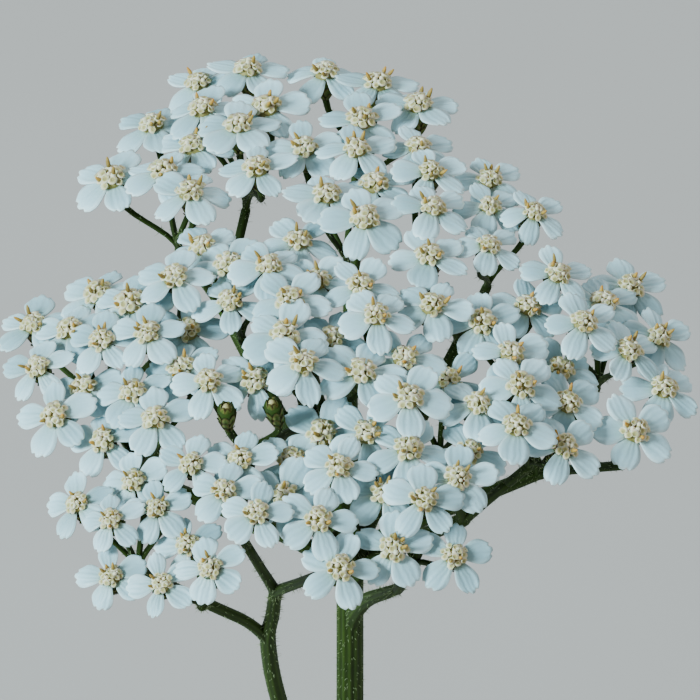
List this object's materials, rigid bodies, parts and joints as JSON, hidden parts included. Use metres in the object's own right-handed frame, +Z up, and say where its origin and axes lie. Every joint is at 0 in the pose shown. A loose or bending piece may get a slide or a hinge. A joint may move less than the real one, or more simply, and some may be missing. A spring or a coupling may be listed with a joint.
{
  "type": "potted yarrow plant",
  "caption": "Flowering yarrow in a plain clay pot: a flat-topped cluster of small white heads on a branched stem, with feathery leaves up the stem and in a rosette on the soil.",
  "frame": {"origin": "middle of the pot's flat underside", "axes": "+Z up along the pot's axis and the flowering stem; the view in the picture looks along +Y, down at the cluster, with +X to the right"},
  "size_m": [0.2432, 0.2452, 0.338],
  "materials": {
    "petal_white": "soft satin white rays, faintly blue in the shade, with two fine grooves each",
    "disc_cream": "matt cream florets",
    "anther_gold": "matt golden pollen on slender tubes",
    "bract_green": "downy grey-green bracts and stalks with thin brown edges",
    "stem_green": "ridged dark green stem with fine pale hairs",
    "leaf_green": "matt grey-green leaf with a paler rib",
    "soil_brown": "moist crumbly potting compost",
    "clay_terracotta": "unglazed clay with faint turning lines and pale bloom"
  },
  "bodies": {
    "root": {"spray_back_left_outer": "petal_white", "spray_back_left_inner": "petal_white", "spray_back_outer": "petal_white", "spray_back_inner": "petal_white", "spray_back_right_inner": "petal_white", "spray_back_right_outer": "petal_white", "spray_middle_left": "petal_white", "spray_middle_back": "petal_white", "spray_middle_right": "petal_white", "spray_middle_front": "petal_white", "spray_left_back": "petal_white", "spray_left_outer": "petal_white", "spray_left_front": "petal_white", "spray_right_back": "petal_white", "spray_right_outer": "petal_white", "spray_right_tip": "petal_white", "spray_right_front": "petal_white", "spray_right_inner": "petal_white", "spray_front_back": "petal_white", "spray_front_middle": "petal_white", "spray_front_low": "petal_white", "spray_front_left": "petal_white", "spray_front_right": "petal_white", "spray_side_outer": "petal_white", "spray_side_inner": "petal_white", "spray_late": "petal_white", "stem": "stem_green", "rosette_leaf_outer_1": "leaf_green", "rosette_leaf_outer_2": "leaf_green", "rosette_leaf_outer_3": "leaf_green", "rosette_leaf_outer_4": "leaf_green", "rosette_leaf_outer_5": "leaf_green", "rosette_leaf_outer_6": "leaf_green", "rosette_leaf_inner_1": "leaf_green", "rosette_leaf_inner_2": "leaf_green", "rosette_leaf_inner_3": "leaf_green", "rosette_leaf_inner_4": "leaf_green", "rosette_leaf_inner_5": "leaf_green", "stem_leaf_1": "leaf_green", "stem_leaf_2": "leaf_green", "stem_leaf_3": "leaf_green", "stem_leaf_4": "leaf_green", "stem_leaf_5": "leaf_green", "stem_leaf_6": "leaf_green", "soil": "soil_brown", "pot": "clay_terracotta"}
  },
  "joints": []
}
